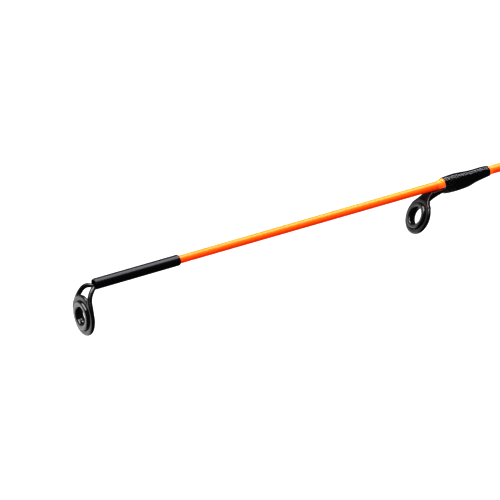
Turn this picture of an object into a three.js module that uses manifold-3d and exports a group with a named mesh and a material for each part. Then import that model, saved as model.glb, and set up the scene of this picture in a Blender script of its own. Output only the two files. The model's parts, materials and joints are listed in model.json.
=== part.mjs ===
// A 610 mm ice fishing rod for a small spinning reel: a one-piece solid blank with a tip-top, four
// running guides, a hook keeper, and a handle with a threaded reel seat.
// Millimetres, +Z up. The rod lies along X with its tip at -X and its butt at +X, and the guides and the
// reel hang below it. The origin is on the blank's axis, above the middle of the reel foot.
import * as THREE from "three";
import { mergeVertices } from "three/addons/utils/BufferGeometryUtils.js";
import Module from "manifold-3d";

const wasm = await Module();
wasm.setup();

// Driving dimensions
const TIP_X = -475; // mouth of the tip-top's tube
const BUTT_X = 132; // flat end of the butt cap
const SIDES = 12; // facets round the blank and what is wrapped on it
const GRIP_SIDES = 24; // facets round the handle
const GLUE = 0.05; // glue line between pieces that are bonded
const SHELL_GAP = 0.03; // between thread and its clear coat

const TUBE = { length: 16.4, radius: 0.95, bore: 0.79 };
const BLANK = { insertion: 9, tipRadius: 0.69, taper: 0.0013, swell: 2.15e-8, buttRadius: 2.3, end: 112 };
const TIP_RING = { ahead: 2.58, drop: 4.8, tilt: 2.8, radius: 3.5, gauge: 0.7, seat: 2.6, hole: 1.4 };
const LEG_RADIUS = { inTube: 0.3, outside: 0.39 };
// Middle of a leg of the tip-top's frame: x from the tube's mouth, distance to the side, and z.
const LEG_ROUTE = [
  [5, 0.29, -0.32],
  [1, 0.29, -0.32],
  [0, 0.31, -0.31],
  [-0.42, 0.74, -0.2],
  [-0.79, 1.2, -0.24],
  [-1.31, 1.58, -0.55],
  [-1.85, 1.87, -1.2],
  [-2.25, 2.22, -2.05],
  [-2.45, 2.7, -2.95],
  [-2.57, 3.08, -3.9],
];
const LEG_SWELL = 3; // the point of the route where a leg has its full thickness

const GUIDE_LIP = 0.8; // width of the frame's band outside the ring insert
const RING_DEPTH = 1.55; // length of an insert along its own axis on the smallest guide
const GUIDES = [
  { name: "guide_1", behindTip: 65.9, drop: 4.66, radius: 3.3, hole: 1.5, gauge: 0.7, tilt: 27.4 },
  { name: "guide_2", behindTip: 143, drop: 5.3, radius: 3.8, hole: 1.9, gauge: 0.75, tilt: 27.4 },
  { name: "guide_3", behindTip: 232, drop: 6.9, radius: 4.8, hole: 2.7, gauge: 0.85, tilt: 26 },
  { name: "guide_4", behindTip: 325, drop: 10.2, radius: 6.5, hole: 4.15, gauge: 1, tilt: 18 },
];
const FOOT = { start: 6, length: 5.8, width: 1.05, thickness: 0.58 }; // foot of the smallest guide
const NECK_WIDTH = 1.4; // where the foot leaves the ring of the smallest guide
const SHOULDER = 42; // degrees above the ring's middle where the plate's edge turns in to the neck
const HEEL = { rear: 2.3, front: 2.6 }; // length of the bend where a foot starts
const BRACE = { radius: 0.48, foot: 2.6, reach: 0.35 }; // the largest guide's two struts
const WRAP = { start: 5.9, length: 10.2 }; // thread on the smallest guide's foot
const FRINGE = { near: 1.2, far: 0.6, skin: 0.07 }; // clear coat beyond the two ends of the thread
// Thickness of the finished wrap over the blank and of the bulge that the foot makes below it, from the
// ring's side of the wrap to its far end.
const WRAP_FORM = [
  { at: 0, skin: 0.34, bulge: 0.8 },
  { at: 0.1, skin: 0.42, bulge: 0.88 },
  { at: 0.27, skin: 0.48, bulge: 0.86 },
  { at: 0.52, skin: 0.32, bulge: 0.8 },
  { at: 0.76, skin: 0.22, bulge: 0.34 },
  { at: 1, skin: 0.13, bulge: 0 },
];
const COAT = 0.1; // clear coat over the thread

const KEEPER = { x: -112, wire: 0.42, spread: 0.6, foot: 9 };
// Middle of the hook keeper's wire from its foot to the end of its loop: x from KEEPER.x, share of the
// spread, and distance below the blank's underside.
const KEEPER_ROUTE = [
  [4, 1, 0],
  [1.5, 1, 0.35],
  [-0.9, 0.9, 1.7],
];
const KEEPER_LOOP = [-1.4, 2.48];
const KEEPER_WRAP = { from: -109.5, to: -98.4, skin: 0.34, fringe: 0.7, tail: 1.4 };

const WINDING_CHECK = { from: -98, to: -93.5, tipRadius: 3.1, radius: 5.4 };
const FOREGRIP = { from: -93.4, to: -62.1, tipRadius: 5.6, radius: 9.9 };
const TRIM = { width: 2, radius: 10.4 };
const SEAT = { from: -60, to: 44, radius: 8.2, bore: 6, flat: 7.2, flatFrom: -45, flatTo: 33.3 };
const THREAD = { to: -27, pitch: 3, root: 8.1, crest: 9.2, key: 8.5, rowsPerTurn: 4, sides: 16 };
const THREAD_SLACK = 0.28; // play round the thread
const NUT = { from: -59.6, to: -47, radius: 11.4, edge: 1, flutes: 12, fluteRadius: 1.1, fluteInset: 2.2 };
// The nut's neck turns inside the sliding hood, and its bead keeps the two together.
const NECK = { length: 3, radius: 10.1, bead: 10.4, beadWidth: 1, play: 0.2 };
const HOOD = { length: 18, radius: 11.2, bore: 9.45, depth: 14.4, halfWidth: 7.9 };
const LOBE = { flat: 4, bend: 10, end: 15.5, step: 0.6, bevelDepth: 1.6, bevelSize: 1.2 };
const POCKET = { halfWidth: 6.8, length: 9.5, mouth: 12.4, end: 9.9, lead: 1 };
const HOOD_KEY = { from: 5, halfHeight: 3, root: 0.6 }; // ribs that keep the sliding hood from turning
const SLIDING_HOOD_X = -46.9;
const FIXED_HOOD_X = 24;
const ARBOR = { length: 14, front: -54, rear: 22 };
const REAR_GRIP = { from: 46.1, to: 118, radius: 10.4, waist: 8.7 };
const BUTT_CAP = { radius: 10.9, edge: 2.2, cup: 5, wall: 1.6, rim: 0.4 };

const COLOURS = {
  orange: [0xff6a12, 0.35, 0],
  gunmetal: [0x34322f, 0.35, 0.9],
  blackMetal: [0x121214, 0.25, 0.6],
  ceramic: [0x16161a, 0.12, 0.1],
  thread: [0x0b0b0d, 0.5, 0],
  clearCoat: [0x1a1a1e, 0.08, 0],
  foam: [0x1c1c1e, 0.9, 0],
  plastic: [0x1f2022, 0.5, 0],
  rubber: [0x161616, 0.8, 0],
  cork: [0xb48a5e, 0.85, 0],
};

// A closed geometry as a solid that can be joined and cut.
function solid(geometry) {
  const plain = new THREE.BufferGeometry();
  plain.setAttribute("position", geometry.getAttribute("position"));
  plain.setIndex(geometry.getIndex());
  const merged = mergeVertices(plain, 1e-4);
  const vertProperties = merged.attributes.position.array;
  const triVerts = new Uint32Array(merged.index.array);
  return new wasm.Manifold(new wasm.Mesh({ numProp: 3, vertProperties, triVerts }));
}

function unite(...geometries) {
  return geometries.map(solid).reduce((whole, piece) => whole.add(piece));
}

function mesh(name, body, finish) {
  let geometry = body;
  if (!body.isBufferGeometry) {
    const { numProp, numVert, vertProperties, triVerts } = body.getMesh();
    const position = new Float32Array(numVert * 3);
    for (let i = 0; i < numVert; i++) {
      position.set(vertProperties.subarray(i * numProp, i * numProp + 3), i * 3);
    }
    geometry = new THREE.BufferGeometry();
    geometry.setAttribute("position", new THREE.BufferAttribute(position, 3));
    geometry.setIndex(new THREE.BufferAttribute(new Uint32Array(triVerts), 1));
    geometry.computeVertexNormals();
  }
  const [color, roughness, metalness] = COLOURS[finish];
  const made = new THREE.Mesh(geometry, new THREE.MeshStandardMaterial({ color, roughness, metalness }));
  made.name = name;
  return made;
}

// A profile of [x, radius] points turned about the X axis.
function turned(profile, sides = SIDES) {
  const points = profile.map(([x, radius]) => new THREE.Vector2(radius, x));
  if (THREE.ShapeUtils.area(points) < 0) points.reverse();
  const onAxis = Math.min(points[0].x, points.at(-1).x) === 0;
  if (!onAxis) points.push(points[0].clone());
  return new THREE.LatheGeometry(points, sides).rotateZ(-Math.PI / 2);
}

// A plain bar about the X axis.
function bar(from, to, radius, sides = SIDES) {
  return turned([[from, 0], [from, radius], [to, radius], [to, 0]], sides);
}

// An outline in x and z, made a plate that is centred on the plane y = 0.
function sidePlate(shape, width, options = {}) {
  const geometry = new THREE.ExtrudeGeometry(shape, { depth: width, bevelEnabled: false, ...options });
  return geometry.rotateX(Math.PI / 2).translate(0, width / 2, 0);
}

// A strip of the given half thickness that follows a curve in the plane of x and z.
function strip(curve, halfThickness, width, steps = 10) {
  const sideOf = (sign) =>
    Array.from({ length: steps + 1 }, (_, i) => {
      const t = i / steps;
      const along = curve.getTangent(t);
      const half = sign * halfThickness(t);
      return curve.getPoint(t).add(new THREE.Vector2(-along.y, along.x).multiplyScalar(half));
    });
  return sidePlate(new THREE.Shape([...sideOf(1), ...sideOf(-1).reverse()]), width);
}

function wire(points, radius, steps, sides = 8) {
  const path = new THREE.CatmullRomCurve3(points.map((p) => new THREE.Vector3(...p)));
  const section = new THREE.Shape();
  for (let i = 0; i < sides; i++) {
    const angle = (i * 2 * Math.PI) / sides;
    const place = [radius * Math.cos(angle), radius * Math.sin(angle)];
    if (i === 0) section.moveTo(...place);
    else section.lineTo(...place);
  }
  return new THREE.ExtrudeGeometry(section, { steps, extrudePath: path });
}

function blankRadius(x) {
  const behindTube = Math.max(0, x - TIP_X - TUBE.length);
  const radius = BLANK.tipRadius + BLANK.taper * behindTube + BLANK.swell * behindTube ** 3;
  return Math.min(radius, BLANK.buttRadius);
}

// The blank between two stations, made larger by a margin, for cutting what sits on it.
function blankCore(from, to, margin) {
  return turned([
    [from, 0],
    [from, blankRadius(from) + margin],
    [to, blankRadius(to) + margin],
    [to, 0],
  ]);
}

// Rings of the tip-top and the guides, in the ring's own plane: x is the ring's axis, z is up the plate.
function ringInsert(hole, seat, depth, sides = 20) {
  const outer = seat - GLUE;
  const middle = (hole + outer) / 2;
  const half = (outer - hole) / 2;
  const side = [
    [depth * 0.2, hole],
    [depth * 0.42, hole + half * 0.35],
    [depth * 0.5, middle + half * 0.1],
    [depth * 0.25, outer],
  ];
  const otherSide = side.map(([x, radius]) => [-x, radius]).reverse();
  return turned([...otherSide, ...side], sides);
}

// Turns a piece from the ring's own plane to its place on the rod, its lower edge leaning to the tip.
function leaned(geometry, tilt, x, drop) {
  return geometry.rotateY(THREE.MathUtils.degToRad(tilt)).translate(x, 0, -drop);
}

function ringPlate(radius, seat, gauge, neck) {
  const shape = new THREE.Shape();
  const shoulder = THREE.MathUtils.degToRad(SHOULDER);
  if (neck) {
    const edge = new THREE.Vector2(radius * Math.cos(shoulder), radius * Math.sin(shoulder));
    shape.moveTo(-neck.halfWidth, neck.top);
    shape.quadraticCurveTo(-neck.halfWidth, radius * 0.98, -edge.x, edge.y);
    shape.absarc(0, 0, radius, Math.PI - shoulder, 2 * Math.PI + shoulder, false);
    shape.quadraticCurveTo(neck.halfWidth, radius * 0.98, neck.halfWidth, neck.top);
    shape.closePath();
  } else {
    shape.absarc(0, 0, radius, 0, 2 * Math.PI, false);
  }
  const seatHole = new THREE.Path();
  seatHole.absarc(0, 0, seat, 0, 2 * Math.PI, true);
  shape.holes.push(seatHole);
  const plate = new THREE.ExtrudeGeometry(shape, { depth: gauge, bevelEnabled: false, curveSegments: 10 });
  return plate.translate(0, 0, -gauge / 2).rotateX(Math.PI / 2).rotateZ(Math.PI / 2);
}

function tipTop() {
  const tube = turned([
    [TIP_X, TUBE.bore],
    [TIP_X, TUBE.radius],
    [TIP_X + TUBE.length - 0.25, TUBE.radius],
    [TIP_X + TUBE.length, TUBE.radius - 0.12],
    [TIP_X + TUBE.length, TUBE.bore],
  ]);
  const ringX = TIP_X - TIP_RING.ahead;
  const holder = leaned(
    ringPlate(TIP_RING.radius, TIP_RING.seat, TIP_RING.gauge),
    TIP_RING.tilt,
    ringX,
    TIP_RING.drop,
  );
  const legs = [-1, 1].flatMap((side) => {
    const route = LEG_ROUTE.map(([x, y, z]) => [TIP_X + x, side * y, z]);
    return [wire(route, LEG_RADIUS.inTube, 18), wire(route.slice(LEG_SWELL), LEG_RADIUS.outside, 12)];
  });
  const insert = leaned(
    ringInsert(TIP_RING.hole, TIP_RING.seat, RING_DEPTH),
    TIP_RING.tilt,
    ringX,
    TIP_RING.drop,
  );
  return [
    mesh("tip_top_tube", tube, "blackMetal"),
    mesh("tip_top_frame", unite(holder, ...legs), "gunmetal"),
    mesh("tip_top_ring", insert, "ceramic"),
  ];
}

// The foot of a guide and the neck that carries it, bent from the top of the ring's plate. grow makes it
// larger all round, for cutting the wrap that goes over it. direction is 1 for a foot towards the butt.
function footStrip(guide, scale, direction, grow) {
  const x = TIP_X + guide.behindTip;
  const tilt = THREE.MathUtils.degToRad(guide.tilt);
  const thickness = FOOT.thickness * Math.sqrt(scale);
  const footX = x + direction * FOOT.start * scale;
  const under = blankRadius(Math.max(x, footX)) + GLUE + thickness / 2;
  const rise = guide.drop - under;
  const bend = new THREE.Vector2(x + rise * Math.tan(tilt), -under);
  const low = new THREE.Vector2(x + 0.45 * rise * Math.tan(tilt), -guide.drop + 0.45 * rise);
  const end = footX + direction * FOOT.length * scale;
  const endUnder = blankRadius(end) + GLUE + thickness / 2;
  const route = new THREE.CurvePath();
  const heelLength = (direction > 0 ? HEEL.rear : HEEL.front) * scale;
  const heel = new THREE.Vector2(bend.x + direction * heelLength, -under);
  if (direction > 0) route.add(new THREE.QuadraticBezierCurve(low, bend, heel));
  route.add(new THREE.LineCurve(heel, new THREE.Vector2(end, -endUnder)));
  const neckSwell = direction > 0 ? guide.gauge * 0.4 : 0;
  const half = (t) => grow + thickness / 2 + Math.max(0, 0.35 - t) * neckSwell;
  const width = FOOT.width * scale ** 0.8;
  const neckHalf = (NECK_WIDTH / 2) * scale ** 0.8 + grow;
  const beyond = x - direction * 20;
  const neckEnd = x + direction * FOOT.start * 0.4 * scale;
  const plan = new THREE.Shape();
  plan.moveTo(beyond, -neckHalf);
  plan.lineTo(beyond, neckHalf);
  plan.lineTo(neckEnd, neckHalf);
  plan.lineTo(footX, width / 2 + grow);
  plan.quadraticCurveTo(end, width / 2 + grow, end + direction * grow, width * 0.2 + grow);
  plan.lineTo(end + direction * grow, -width * 0.2 - grow);
  plan.quadraticCurveTo(end, -width / 2 - grow, footX, -width / 2 - grow);
  plan.lineTo(neckEnd, -neckHalf);
  plan.closePath();
  const slab = new THREE.ExtrudeGeometry(plan, { depth: 40, bevelEnabled: false, curveSegments: 3 });
  slab.translate(0, 0, -38);
  return solid(strip(route, half, 2 * neckHalf, 8)).intersect(solid(slab));
}

// A turned sleeve round the blank that bulges below where a foot lies in it.
function wrapForm(from, to, scale, margin, isCoat) {
  const length = to - from;
  const stations = WRAP_FORM.map((form) => ({ ...form, x: from + form.at * length }));
  if (isCoat) {
    const edge = { skin: FRINGE.skin, bulge: 0 };
    stations.unshift({ ...edge, x: from - Math.sign(length) * FRINGE.near });
    stations.push({ ...edge, x: to + Math.sign(length) * FRINGE.far });
  }
  const radii = stations.map(({ x, skin }) => {
    const thickness = isCoat ? skin : Math.max(skin - COAT, 0.05);
    return [x, blankRadius(x) + thickness * Math.sqrt(scale) + margin];
  });
  radii[0][0] -= Math.sign(length) * margin;
  radii.at(-1)[0] += Math.sign(length) * margin;
  const form = turned([[radii[0][0], 0], ...radii, [radii.at(-1)[0], 0]]);
  const position = form.getAttribute("position");
  for (let i = 0; i < position.count; i++) {
    const [x, y, z] = [position.getX(i), position.getY(i), position.getZ(i)];
    const around = Math.hypot(y, z);
    if (z >= 0 || around === 0) continue;
    const next = stations.findIndex((s) => (x - s.x) * Math.sign(length) <= 1e-6);
    const b = stations[next < 0 ? stations.length - 1 : next];
    const a = stations[Math.max((next < 0 ? stations.length : next) - 1, 0)];
    const t = a === b || b.x === a.x ? 0 : (x - a.x) / (b.x - a.x);
    const bulge = THREE.MathUtils.lerp(a.bulge, b.bulge, THREE.MathUtils.clamp(t, 0, 1));
    position.setZ(i, z + bulge * Math.sqrt(scale) * (z / around));
  }
  return solid(form);
}

function wrapOn(name, from, to, scale, footCutter) {
  const low = Math.min(from, to) - 2;
  const high = Math.max(from, to) + 2;
  let thread = wrapForm(from, to, scale, 0, false);
  thread = thread.subtract(solid(blankCore(low, high, GLUE))).subtract(footCutter);
  let coat = wrapForm(from, to, scale, 0, true);
  coat = coat.subtract(wrapForm(from, to, scale, SHELL_GAP, false));
  coat = coat.subtract(solid(blankCore(low, high, SHELL_GAP))).subtract(footCutter);
  return [mesh(name + "_thread", thread, "thread"), mesh(name + "_coat", coat, "clearCoat")];
}

function guide(spec) {
  const scale = spec.radius / GUIDES[0].radius;
  const x = TIP_X + spec.behindTip;
  const seat = spec.radius - GUIDE_LIP;
  const neck = { halfWidth: (NECK_WIDTH * scale ** 0.8) / 2, top: spec.radius + 0.25 };
  const plate = leaned(ringPlate(spec.radius, seat, spec.gauge, neck), spec.tilt, x, spec.drop);
  let frame = solid(plate).add(footStrip(spec, scale, 1, 0));
  const hole = leaned(bar(-5, 5, seat, 24), spec.tilt, x, spec.drop);
  frame = frame.subtract(solid(hole));
  const insert = ringInsert(spec.hole, seat, RING_DEPTH * Math.sqrt(scale));
  const from = x + WRAP.start * scale;
  const to = from + WRAP.length * scale ** 0.7;
  const double = spec === GUIDES.at(-1);
  const pieces = [];
  if (double) {
    frame = unite(...struts(spec, x)).add(frame).add(footStrip(spec, scale, -1, 0));
    const front = x - WRAP.start * scale;
    const frontEnd = front - WRAP.length * scale ** 0.7;
    pieces.push(...wrapOn(spec.name + "_front", front, frontEnd, scale, footStrip(spec, scale, -1, GLUE)));
  }
  const rear = double ? spec.name + "_rear" : spec.name;
  return [
    mesh(spec.name + "_frame", frame, "gunmetal"),
    mesh(spec.name + "_ring", leaned(insert, spec.tilt, x, spec.drop), "ceramic"),
    ...wrapOn(rear, from, to, scale, footStrip(spec, scale, 1, GLUE)),
    ...pieces,
  ];
}

// The two struts that brace the largest guide's ring to its front foot.
function struts(spec, x) {
  const scale = spec.radius / GUIDES[0].radius;
  const footX = x - BRACE.foot * scale;
  const under = blankRadius(x) + GLUE + (FOOT.thickness * Math.sqrt(scale)) / 2;
  const tilt = THREE.MathUtils.degToRad(spec.tilt);
  return [-1, 1].map((side) => {
    const up = spec.radius * BRACE.reach;
    return wire(
      [
        [x + up * Math.sin(tilt), side * spec.radius * 0.88, -spec.drop + up * Math.cos(tilt)],
        [x + 0.1, side * spec.radius * 0.72, -spec.drop + spec.radius * 0.8],
        [x - 2.1, side * 2.6, -under - 1.6],
        [footX - 0.5, side * 0.75, -under - 0.25],
        [footX - 2.6, side * 0.35, -under],
      ],
      BRACE.radius,
      12,
    );
  });
}

function hookKeeper() {
  const { x, wire: radius, spread, foot } = KEEPER;
  const onBlank = -(blankRadius(KEEPER_WRAP.from) + GLUE + radius);
  const footEnd = x + foot;
  const footZ = -(blankRadius(footEnd) + GLUE + radius);
  const leg = (side) => KEEPER_ROUTE.map(([dx, out, dz]) => [x + dx, side * out * spread, onBlank - dz]);
  const route = (grow) => [
    [footEnd + grow, spread, footZ],
    ...leg(1),
    [x + KEEPER_LOOP[0], 0, onBlank - KEEPER_LOOP[1]],
    ...leg(-1).reverse(),
    [footEnd + grow, -spread, footZ],
  ];
  const loop = wire(route(0), radius, 24, 8);
  const cutter = solid(wire(route(0.2), radius + GLUE * 2, 24, 6));
  const { from, to, skin, fringe: edge, tail } = KEEPER_WRAP;
  const bump = 2 * radius;
  const sleeve = (margin, thickness, fringe) => {
    const start = from - fringe - margin;
    const stop = to + Math.min(margin, 0.03);
    const form = turned([
      [start, 0],
      [start, blankRadius(start) + 0.05 + margin],
      [from + 0.3, blankRadius(from) + thickness + margin],
      [footEnd, blankRadius(footEnd) + thickness + margin],
      [footEnd + tail, blankRadius(footEnd) + thickness + margin],
      [stop, blankRadius(stop) + thickness + margin],
      [stop, 0],
    ]);
    const position = form.getAttribute("position");
    for (let i = 0; i < position.count; i++) {
      const [px, y, z] = [position.getX(i), position.getY(i), position.getZ(i)];
      if (z < 0 && Math.hypot(y, z) > 0 && px < footEnd + 0.5 && px > from - 0.2) {
        position.setZ(i, z - bump * Math.abs(z / Math.hypot(y, z)) ** 0.6);
      }
    }
    return solid(form);
  };
  const core = solid(blankCore(from - 3, to + 2, GLUE));
  const thread = sleeve(0, skin - COAT, 0).subtract(core).subtract(cutter);
  const room = sleeve(SHELL_GAP, skin - COAT, 0);
  const coat = sleeve(0, skin, edge).subtract(room).subtract(core).subtract(cutter);
  return [
    mesh("hook_keeper", loop, "gunmetal"),
    mesh("hook_keeper_thread", thread, "thread"),
    mesh("hook_keeper_coat", coat, "clearCoat"),
  ];
}

function blank() {
  const front = TIP_X + BLANK.insertion;
  const outer = [[front, BLANK.tipRadius]];
  const tubeEnd = TIP_X + TUBE.length;
  const steps = 10;
  for (let i = 0; i <= steps; i++) {
    const x = tubeEnd + ((FOREGRIP.to - tubeEnd) * i) / steps;
    outer.push([x, blankRadius(x)]);
  }
  outer.push([BLANK.end, BLANK.buttRadius]);
  return mesh("rod_blank", turned([[front, 0], ...outer, [BLANK.end, 0]]), "orange");
}

// A grip or ring turned on the handle, with a bore for what it sits on.
function sleeve(name, profile, bore, finish) {
  const from = profile[0][0];
  const to = profile.at(-1)[0];
  return mesh(name, turned([[from, bore], ...profile, [to, bore]], GRIP_SIDES), finish);
}

function grips() {
  const bore = BLANK.buttRadius + GLUE;
  const { from, to, tipRadius, radius } = FOREGRIP;
  const foregrip = [
    [from, tipRadius - 0.6],
    [from + 0.6, tipRadius],
    [from + 8, tipRadius + 1.5],
    [from + 18, radius - 1],
    [to - 4, radius],
    [to - 0.7, radius],
    [to, radius - 0.7],
  ];
  const check = [
    [WINDING_CHECK.from, WINDING_CHECK.tipRadius - 0.3],
    [WINDING_CHECK.from + 0.3, WINDING_CHECK.tipRadius],
    [WINDING_CHECK.to - 1.6, WINDING_CHECK.radius],
    [WINDING_CHECK.to, WINDING_CHECK.radius],
  ];
  const ring = (start) => [
    [start, TRIM.radius - 0.4],
    [start + 0.4, TRIM.radius],
    [start + TRIM.width - 0.4, TRIM.radius],
    [start + TRIM.width, TRIM.radius - 0.4],
  ];
  const cupStart = REAR_GRIP.to - BUTT_CAP.cup;
  const cupRadius = REAR_GRIP.radius - BUTT_CAP.wall;
  const rear = [
    [REAR_GRIP.from, REAR_GRIP.radius - 0.7],
    [REAR_GRIP.from + 0.7, REAR_GRIP.radius],
    [REAR_GRIP.from + 8, REAR_GRIP.radius - 0.3],
    [REAR_GRIP.from + 22, REAR_GRIP.waist + 0.3],
    [REAR_GRIP.from + 32, REAR_GRIP.waist],
    [REAR_GRIP.from + 44, REAR_GRIP.waist + 0.4],
    [REAR_GRIP.to - 12, REAR_GRIP.radius - 0.2],
    [cupStart, REAR_GRIP.radius],
    [cupStart, cupRadius],
    [REAR_GRIP.to - 0.3, cupRadius],
  ];
  return [
    sleeve("winding_check", check, blankRadius(WINDING_CHECK.to) + GLUE, "rubber"),
    sleeve("foregrip", foregrip, bore, "foam"),
    sleeve("foregrip_trim_ring", ring(FOREGRIP.to + GLUE), bore, "orange"),
    sleeve("rear_trim_ring", ring(SEAT.to + GLUE), bore, "orange"),
    sleeve("rear_grip", rear, bore, "foam"),
  ];
}

function buttCap() {
  const { radius, edge, cup, wall, rim: bevel } = BUTT_CAP;
  const rim = REAR_GRIP.to - cup + 0.1;
  const inner = REAR_GRIP.radius - wall + GLUE;
  const round = [30, 60].map((degrees) => {
    const angle = THREE.MathUtils.degToRad(degrees);
    return [BUTT_X - edge + edge * Math.sin(angle), radius - edge + edge * Math.cos(angle)];
  });
  const profile = [
    [REAR_GRIP.to, 0],
    [REAR_GRIP.to, inner],
    [rim, inner],
    [rim, radius - bevel],
    [rim + bevel, radius],
    [BUTT_X - edge, radius],
    ...round,
    [BUTT_X, radius - edge],
    [BUTT_X, 0],
  ];
  return mesh("butt_cap", turned(profile, GRIP_SIDES), "rubber");
}

// A screw about the X axis: a turned bar whose rows of points are sheared along the helix, so that each
// turn has a flat root, a flank, a flat crest and a flank. The rows run out on the two end circles.
function screw(from, to) {
  const { pitch, root, crest, rowsPerTurn, sides } = THREAD;
  const rows = Math.ceil(((to - from) / pitch + 1) * rowsPerTurn);
  const bare = Array.from({ length: rows + 1 }, () => [from, root]);
  const form = turned([[from, 0], ...bare, [to, 0]], sides);
  const position = form.getAttribute("position");
  for (let i = 0; i <= sides; i++) {
    const angle = (i / sides) * 2 * Math.PI;
    for (let row = 0; row <= rows; row++) {
      const x = from + (row - rowsPerTurn + (i / sides) * rowsPerTurn) * (pitch / rowsPerTurn);
      const place = THREE.MathUtils.clamp(x, from, to);
      const radius = place === x && x > from && row % rowsPerTurn > 1 ? crest : root;
      position.setXYZ(i * (rows + 3) + row + 1, place, -radius * Math.sin(angle), radius * Math.cos(angle));
    }
  }
  return form;
}

function box(low, high) {
  const size = low.map((v, i) => high[i] - v);
  const middle = low.map((v, i) => (v + high[i]) / 2);
  return solid(new THREE.BoxGeometry(...size).translate(...middle));
}

function reelSeat() {
  const body = solid(bar(THREAD.to, SEAT.to, SEAT.radius, GRIP_SIDES));
  let barrel = body.add(solid(screw(SEAT.from, THREAD.to + 1)));
  for (const side of [-1, 1]) {
    const keyFlat = side < 0 ? [-20, -THREAD.key] : [THREAD.key, 20];
    barrel = barrel.subtract(box([SEAT.from - 1, keyFlat[0], -20], [THREAD.to + 1, keyFlat[1], 20]));
  }
  barrel = barrel.subtract(box([SEAT.flatFrom, -20, -20], [SEAT.flatTo, 20, -SEAT.flat]));
  barrel = barrel.subtract(solid(bar(SEAT.from - 1, SEAT.to + 1, SEAT.bore, 24)));
  const arbor = (name, start) =>
    mesh(
      name,
      turned(
        [
          [start, BLANK.buttRadius + GLUE],
          [start, SEAT.bore - 0.1],
          [start + ARBOR.length, SEAT.bore - 0.1],
          [start + ARBOR.length, BLANK.buttRadius + GLUE],
        ],
        24,
      ),
      "cork",
    );
  return [
    mesh("reel_seat_barrel", barrel, "plastic"),
    arbor("front_arbor", ARBOR.front),
    arbor("rear_arbor", ARBOR.rear),
    mesh("fixed_hood", hood(FIXED_HOOD_X, 1, SEAT.radius + GLUE), "plastic"),
  ];
}

// A hood whose pocket holds one end of the reel foot. facing is 1 where the hood runs towards the butt
// from its open end, and -1 where it runs towards the tip.
function hood(openX, facing, bore) {
  const at = (distance) => openX + facing * distance;
  const { length, radius, depth, halfWidth } = HOOD;
  const shell = turned(
    [
      [at(0), 0],
      [at(0), radius - 0.5],
      [at(0.5), radius],
      [at(length - 0.5), radius],
      [at(length), radius - 0.5],
      [at(length), 0],
    ],
    GRIP_SIDES,
  );
  const lobe = new THREE.Shape();
  lobe.moveTo(at(0), 0);
  lobe.lineTo(at(0), -depth);
  lobe.lineTo(at(LOBE.flat), -depth);
  lobe.quadraticCurveTo(at(LOBE.bend), -depth, at(LOBE.end), -radius + LOBE.step);
  lobe.lineTo(at(LOBE.end), 0);
  lobe.closePath();
  const bevel = {
    bevelEnabled: true,
    bevelThickness: LOBE.bevelDepth,
    bevelSize: LOBE.bevelSize,
    bevelOffset: -LOBE.bevelSize,
    bevelSegments: 2,
  };
  const lobeWidth = 2 * (halfWidth - LOBE.bevelDepth);
  const pocket = new THREE.Shape();
  pocket.moveTo(at(-POCKET.lead), -SEAT.radius * 0.5);
  pocket.lineTo(at(-POCKET.lead), -POCKET.mouth);
  pocket.lineTo(at(POCKET.lead), -POCKET.mouth);
  pocket.lineTo(at(POCKET.length), -POCKET.end);
  pocket.lineTo(at(POCKET.length), -SEAT.radius * 0.5);
  pocket.closePath();
  const lobePlate = sidePlate(lobe, lobeWidth, { ...bevel, curveSegments: 5 });
  const hollow = solid(sidePlate(pocket, 2 * POCKET.halfWidth));
  const through = solid(bar(openX - 30, openX + 30, bore, GRIP_SIDES));
  return solid(shell).add(solid(lobePlate)).subtract(hollow).subtract(through);
}

function slidingHood() {
  const openX = SLIDING_HOOD_X + HOOD.length;
  let body = hood(openX, -1, HOOD.bore);
  for (const side of [-1, 1]) {
    const inner = THREAD.key + THREAD_SLACK;
    const outer = HOOD.bore + HOOD_KEY.root;
    const band = side < 0 ? [-outer, -inner] : [inner, outer];
    const low = [SLIDING_HOOD_X + HOOD_KEY.from, band[0], -HOOD_KEY.halfHeight];
    body = body.add(box(low, [openX - 1, band[1], HOOD_KEY.halfHeight]));
  }
  const socket = turned(
    [
      [SLIDING_HOOD_X - 1, 0],
      [SLIDING_HOOD_X - 1, NECK.radius + NECK.play],
      [SLIDING_HOOD_X + NECK.length - NECK.beadWidth - NECK.play, NECK.radius + NECK.play],
      [SLIDING_HOOD_X + NECK.length - NECK.beadWidth - NECK.play, NECK.bead + NECK.play],
      [SLIDING_HOOD_X + NECK.length + NECK.play, NECK.bead + NECK.play],
      [SLIDING_HOOD_X + NECK.length + NECK.play, 0],
    ],
    GRIP_SIDES,
  );
  return mesh("sliding_hood", body.subtract(solid(socket)), "plastic");
}

function lockNut() {
  const { from, to, radius, edge, flutes, fluteRadius, fluteInset } = NUT;
  const neckEnd = SLIDING_HOOD_X + NECK.length;
  const bore = THREAD.crest + THREAD_SLACK;
  const profile = [
    [from, bore],
    [from, radius - edge],
    [from + edge, radius],
    [to - edge, radius],
    [to, radius - edge],
    [to, NECK.radius],
    [neckEnd - NECK.beadWidth, NECK.radius],
    [neckEnd - NECK.beadWidth, NECK.bead],
    [neckEnd, NECK.bead],
    [neckEnd, bore],
  ];
  let nut = solid(turned(profile, GRIP_SIDES));
  for (let i = 0; i < flutes; i++) {
    const angle = (i * 2 * Math.PI) / flutes;
    const place = radius + fluteRadius * 0.45;
    const flute = bar(from + fluteInset, to - fluteInset, fluteRadius, 6);
    flute.translate(0, place * Math.sin(angle), place * Math.cos(angle));
    nut = nut.subtract(solid(flute));
  }
  return mesh("lock_nut", nut, "plastic");
}

const rod = new THREE.Group();
rod.add(blank(), ...tipTop(), ...GUIDES.flatMap(guide), ...hookKeeper());
rod.add(...grips(), ...reelSeat(), slidingHood(), lockNut(), buttCap());

export default rod;
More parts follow.
